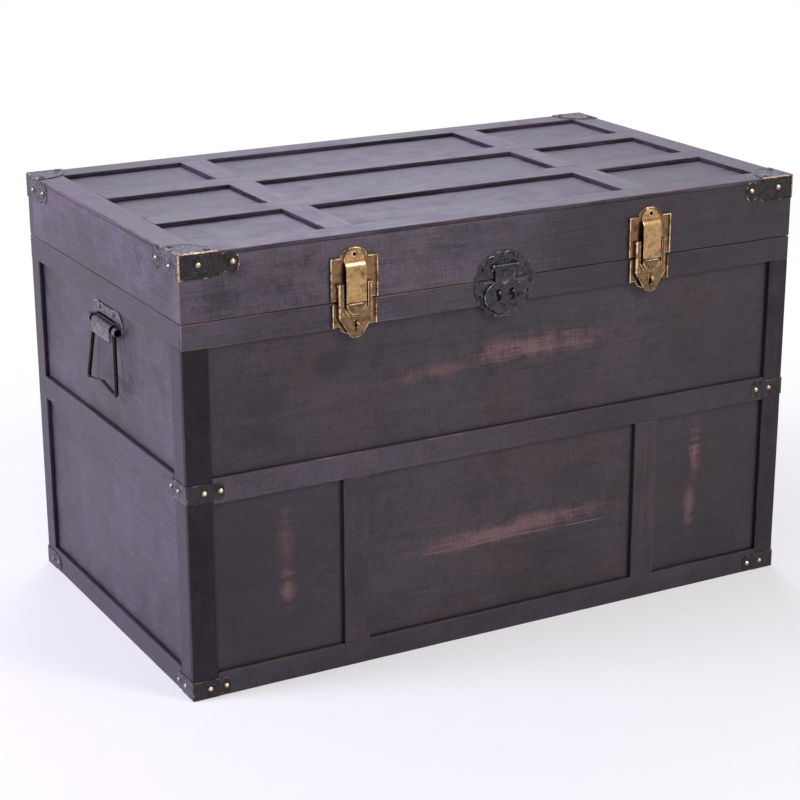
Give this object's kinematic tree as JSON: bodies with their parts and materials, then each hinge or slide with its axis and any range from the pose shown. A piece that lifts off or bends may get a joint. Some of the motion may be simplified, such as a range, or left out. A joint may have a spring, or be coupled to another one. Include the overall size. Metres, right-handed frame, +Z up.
{
  "type": "wooden trunk",
  "caption": "Rectangular wooden storage trunk with battened sides and hinged lid, trunk latches, a round hasp, bail handles and metal corner pieces.",
  "frame": {"origin": "on the floor, in the middle of the underside of the trunk's bottom board", "axes": "+X along the length towards the right end, -Y towards the front with the latches, +Z up"},
  "size_m": [0.8164, 0.4848, 0.5109],
  "materials": {
    "stained_wood": "satin stain",
    "antique_brass": "antiqued",
    "black_iron": "blackened"
  },
  "bodies": {
    "trunk": {"bottom_bracket_front_left": "black_iron", "bottom_bracket_front_right": "black_iron", "bottom_bracket_rear_left": "black_iron", "bottom_bracket_rear_right": "black_iron", "bottom_panel": "stained_wood", "front_bottom_rail": "stained_wood", "front_left_muntin": "stained_wood", "front_left_stile": "stained_wood", "front_middle_rail": "stained_wood", "front_panel": "stained_wood", "front_right_muntin": "stained_wood", "front_right_stile": "stained_wood", "front_top_rail": "stained_wood", "hasp_lower_plate": "black_iron", "left_end_bottom_rail": "stained_wood", "left_end_front_stile": "stained_wood", "left_end_middle_rail": "stained_wood", "left_end_panel": "stained_wood", "left_end_rear_stile": "stained_wood", "left_end_top_rail": "stained_wood", "left_handle_plate": "black_iron", "left_hinge_base_leaf": "black_iron", "left_latch_body_plate": "antique_brass", "middle_bracket_left": "black_iron", "middle_bracket_right": "black_iron", "rear_panel": "stained_wood", "right_end_bottom_rail": "stained_wood", "right_end_front_stile": "stained_wood", "right_end_middle_rail": "stained_wood", "right_end_panel": "stained_wood", "right_end_rear_stile": "stained_wood", "right_end_top_rail": "stained_wood", "right_handle_plate": "black_iron", "right_hinge_base_leaf": "black_iron", "right_latch_body_plate": "antique_brass"},
    "lid": {"hasp_upper_plate": "black_iron", "left_hinge_lid_leaf": "black_iron", "left_latch_lid_plate": "antique_brass", "lid_cap_front_left": "black_iron", "lid_cap_front_right": "black_iron", "lid_cap_rear_left": "black_iron", "lid_cap_rear_right": "black_iron", "lid_cross_batten_left": "stained_wood", "lid_cross_batten_right": "stained_wood", "lid_front_batten": "stained_wood", "lid_left_batten": "stained_wood", "lid_long_batten_front": "stained_wood", "lid_long_batten_rear": "stained_wood", "lid_rear_batten": "stained_wood", "lid_right_batten": "stained_wood", "lid_shell": "stained_wood", "right_hinge_lid_leaf": "black_iron", "right_latch_lid_plate": "antique_brass"},
    "left_lever": {"left_latch_lever": "antique_brass"},
    "right_lever": {"right_latch_lever": "antique_brass"},
    "hasp_tongue": {"hasp_tongue": "black_iron"},
    "left_bail": {"left_bail": "black_iron"},
    "right_bail": {"right_bail": "black_iron"}
  },
  "joints": [
    {"name": "lid_hinge", "type": "hinge", "parent": "trunk", "child": "lid", "pos_m": [0, 0.2363, 0.433], "axis": [-1, 0, 0], "range_deg": [0, 100]},
    {"name": "left_latch_pivot", "type": "hinge", "parent": "trunk", "child": "left_lever", "pos_m": [-0.1967, -0.2356, 0.4518], "axis": [-1, 0, 0], "range_deg": [0, 80]},
    {"name": "right_latch_pivot", "type": "hinge", "parent": "trunk", "child": "right_lever", "pos_m": [0.192, -0.2356, 0.4518], "axis": [-1, 0, 0], "range_deg": [0, 80]},
    {"name": "hasp_pivot", "type": "hinge", "parent": "lid", "child": "hasp_tongue", "pos_m": [-0.0059, -0.236, 0.4485], "axis": [-1, 0, 0], "range_deg": [0, 120]},
    {"name": "left_bail_pivot", "type": "hinge", "parent": "trunk", "child": "left_bail", "pos_m": [-0.4004, -0.0085, 0.3781], "axis": [0, 1, 0], "range_deg": [0, 115]},
    {"name": "right_bail_pivot", "type": "hinge", "parent": "trunk", "child": "right_bail", "pos_m": [0.4004, -0.0085, 0.3781], "axis": [0, -1, 0], "range_deg": [0, 115]}
  ]
}
